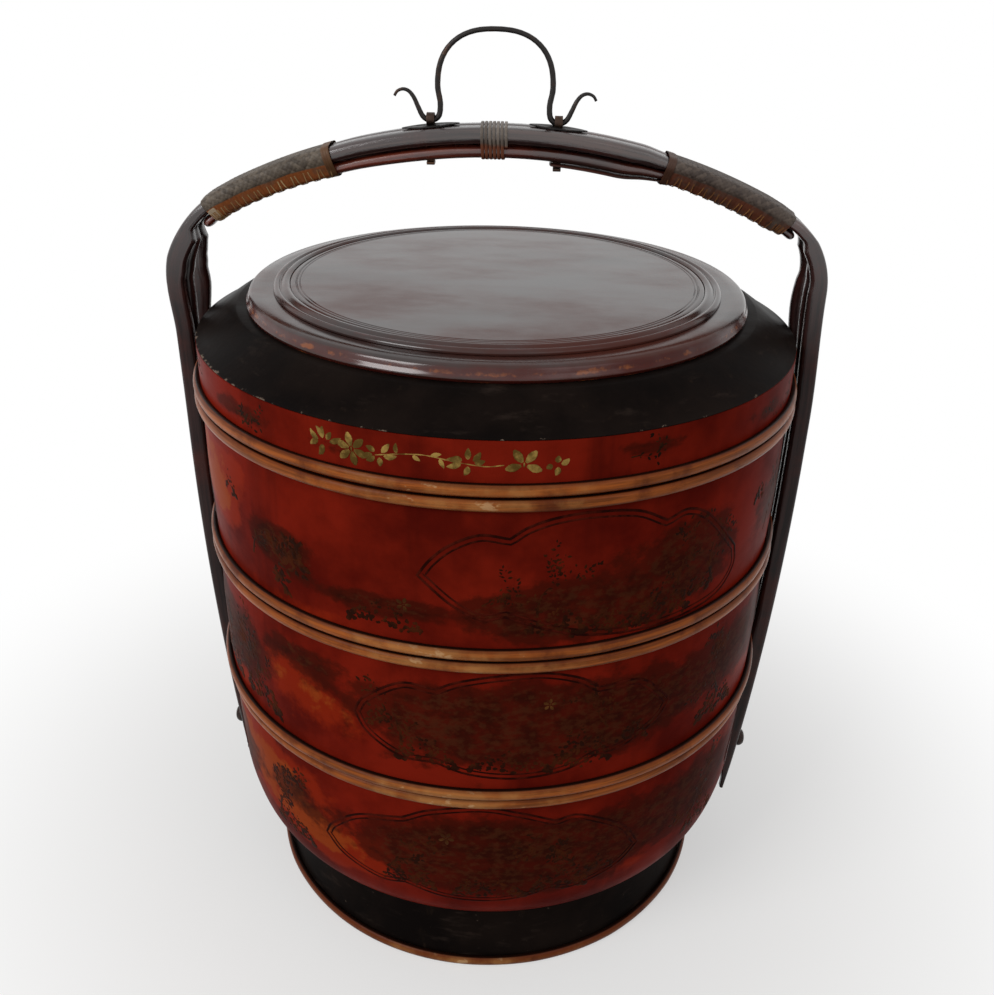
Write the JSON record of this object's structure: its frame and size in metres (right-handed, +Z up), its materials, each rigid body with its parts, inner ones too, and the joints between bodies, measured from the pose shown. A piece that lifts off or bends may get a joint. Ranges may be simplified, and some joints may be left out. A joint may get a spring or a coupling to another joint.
{
  "type": "wedding basket",
  "caption": "Round tiered food basket in lacquered wood with cane hoops, lift-off lid, swinging bent-bamboo carrying handle and folding iron bail.",
  "frame": {"origin": "middle of the foot's underside, on the floor", "axes": "+Z up through the stack of tiers; +X along the handle, from the left pivot peg to the right one; -Y is the front"},
  "size_m": [0.4334, 0.4012, 0.6064],
  "materials": {
    "lacquer": "red lacquer, semi-gloss",
    "black_lacquer": "black lacquer, satin",
    "brown_lacquer": "brown-black lacquer, gloss",
    "cane": "varnished cane",
    "bare_wood": "bare board",
    "bamboo": "dark varnished bamboo",
    "grip_wood": "red-brown varnished bamboo",
    "rattan": "woven rattan",
    "iron": "wrought iron"
  },
  "bodies": {
    "base": {"foot_ring": "black_lacquer", "foot_hoop": "cane", "bowl_wall": "lacquer", "bowl_rim_hoop": "cane", "bowl_board": "bare_wood", "bowl_collar": "lacquer", "left_peg": "bamboo", "right_peg": "bamboo"},
    "middle_tray": {"middle_wall": "lacquer", "middle_bottom_hoop": "cane", "middle_top_hoop": "cane", "middle_board": "bare_wood", "middle_collar": "lacquer"},
    "upper_tray": {"upper_wall": "lacquer", "upper_bottom_hoop": "cane", "upper_top_hoop": "cane", "upper_board": "bare_wood", "upper_collar": "lacquer"},
    "lid": {"lid_skirt": "lacquer", "lid_rim_hoop": "cane", "lid_shoulder": "black_lacquer", "lid_ring": "brown_lacquer", "lid_moulding": "brown_lacquer", "lid_panel": "brown_lacquer"},
    "handle": {"front_stave": "bamboo", "rear_stave": "bamboo", "left_core_stave": "bamboo", "right_core_stave": "bamboo", "grip_rod": "grip_wood", "under_splint": "bamboo", "left_sleeve": "rattan", "right_sleeve": "rattan", "centre_lashing": "rattan", "left_eye": "iron", "right_eye": "iron", "left_leaf_plate": "iron", "right_leaf_plate": "iron"},
    "bail": {"bail": "iron"}
  },
  "joints": [
    {"name": "middle_lift", "type": "slide", "parent": "base", "child": "middle_tray", "axis": [0, 0, 1], "range_m": [0, 0.009]},
    {"name": "upper_lift", "type": "slide", "parent": "middle_tray", "child": "upper_tray", "axis": [0, 0, 1], "range_m": [0, 0.009]},
    {"name": "lid_lift", "type": "slide", "parent": "upper_tray", "child": "lid", "axis": [0, 0, 1], "range_m": [0, 0.01]},
    {"name": "handle_swing", "type": "hinge", "parent": "base", "child": "handle", "pos_m": [0, 0, 0.08], "axis": [1, 0, 0], "range_deg": [-90, 90]},
    {"name": "bail_fold", "type": "hinge", "parent": "handle", "child": "bail", "pos_m": [0, 0, 0.5532], "axis": [1, 0, 0], "range_deg": [-90, 90]}
  ]
}
